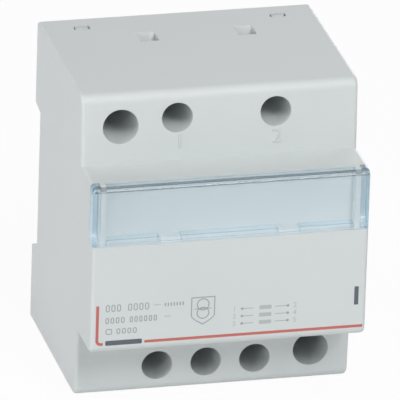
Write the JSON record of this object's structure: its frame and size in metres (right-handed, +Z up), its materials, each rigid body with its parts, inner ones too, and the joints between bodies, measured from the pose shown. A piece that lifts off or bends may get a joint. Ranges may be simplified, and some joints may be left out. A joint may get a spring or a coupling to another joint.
{
  "type": "safety transformer",
  "caption": "Modular safety transformer for a mounting rail: stepped grey case with driver wells, a hinged clear label window, rising-cage terminals and sliding rail latches.",
  "frame": {"origin": "middle line of the mounting rail, on the rail face that the device sits on, at mid-width", "axes": "+X to the right along the rail, -Y out of the front, +Z up"},
  "size_m": [0.071, 0.0649, 0.082],
  "materials": {
    "case": "fine matt moulding",
    "base": "fine matt moulding",
    "window": "clear, tinted",
    "latch": "matt",
    "lamination": "varnished steel sheet",
    "bobbin": "glass-filled",
    "copper": "enamelled wire",
    "tape": "polyester film",
    "disc": "coated",
    "lead": "tinned pin",
    "plated": "plated",
    "screw": "zinc plated"
  },
  "bodies": {
    "housing": {"front_cover": "case", "rear_base": "base", "core_e_stack": "lamination", "core_i_stack": "lamination", "bobbin": "bobbin", "primary_winding": "copper", "secondary_winding": "copper", "primary_tape": "tape", "secondary_tape": "tape", "overload_ptc": "disc", "lead_1": "lead", "lead_2": "lead", "lead_3": "lead", "lead_4": "lead", "lead_5": "lead", "terminal_bar_1": "plated", "terminal_bar_2": "plated", "terminal_bar_3": "plated", "terminal_bar_4": "plated", "terminal_bar_5": "plated"},
    "label_window": {"label_cover": "window"},
    "latch_left": {"din_latch_left": "latch"},
    "latch_right": {"din_latch_right": "latch"},
    "screw_1": {"terminal_screw_1": "screw"},
    "cage_1": {"terminal_cage_1": "plated"},
    "screw_2": {"terminal_screw_2": "screw"},
    "cage_2": {"terminal_cage_2": "plated"},
    "screw_3": {"terminal_screw_3": "screw"},
    "cage_3": {"terminal_cage_3": "plated"},
    "screw_4": {"terminal_screw_4": "screw"},
    "cage_4": {"terminal_cage_4": "plated"},
    "screw_5": {"terminal_screw_5": "screw"},
    "cage_5": {"terminal_cage_5": "plated"}
  },
  "joints": [
    {"name": "label_window_hinge", "type": "hinge", "parent": "housing", "child": "label_window", "pos_m": [0, -0.05687, 0.02127], "axis": [-1, 0, 0], "range_deg": [0, 90]},
    {"name": "latch_left_slide", "type": "slide", "parent": "housing", "child": "latch_left", "axis": [0, 0, -1], "range_m": [0, 0.0035]},
    {"name": "latch_right_slide", "type": "slide", "parent": "housing", "child": "latch_right", "axis": [0, 0, -1], "range_m": [0, 0.0035]},
    {"name": "screw_1_turn", "type": "hinge", "parent": "housing", "child": "screw_1", "pos_m": [-0.011, -0.022, 0.03375], "axis": [0, 1, 0], "range_deg": [0, 2880]},
    {"name": "cage_1_rise", "type": "slide", "parent": "housing", "child": "cage_1", "axis": [0, -1, 0], "range_m": [0, 0.0056]},
    {"name": "screw_2_turn", "type": "hinge", "parent": "housing", "child": "screw_2", "pos_m": [0.0143, -0.022, 0.03375], "axis": [0, 1, 0], "range_deg": [0, 2880]},
    {"name": "cage_2_rise", "type": "slide", "parent": "housing", "child": "cage_2", "axis": [0, -1, 0], "range_m": [0, 0.0056]},
    {"name": "screw_3_turn", "type": "hinge", "parent": "housing", "child": "screw_3", "pos_m": [-0.0143, -0.022, -0.03375], "axis": [0, 1, 0], "range_deg": [0, 2880]},
    {"name": "cage_3_rise", "type": "slide", "parent": "housing", "child": "cage_3", "axis": [0, -1, 0], "range_m": [0, 0.0056]},
    {"name": "screw_4_turn", "type": "hinge", "parent": "housing", "child": "screw_4", "pos_m": [-0.00165, -0.022, -0.03375], "axis": [0, 1, 0], "range_deg": [0, 2880]},
    {"name": "cage_4_rise", "type": "slide", "parent": "housing", "child": "cage_4", "axis": [0, -1, 0], "range_m": [0, 0.0056]},
    {"name": "screw_5_turn", "type": "hinge", "parent": "housing", "child": "screw_5", "pos_m": [0.011, -0.022, -0.03375], "axis": [0, 1, 0], "range_deg": [0, 2880]},
    {"name": "cage_5_rise", "type": "slide", "parent": "housing", "child": "cage_5", "axis": [0, -1, 0], "range_m": [0, 0.0056]}
  ],
  "couplings": [
    {"joint": "screw_1_turn", "follows": "cage_1_rise", "rad_per_m": 8975},
    {"joint": "screw_2_turn", "follows": "cage_2_rise", "rad_per_m": 8975},
    {"joint": "screw_3_turn", "follows": "cage_3_rise", "rad_per_m": 8975},
    {"joint": "screw_4_turn", "follows": "cage_4_rise", "rad_per_m": 8975},
    {"joint": "screw_5_turn", "follows": "cage_5_rise", "rad_per_m": 8975}
  ]
}
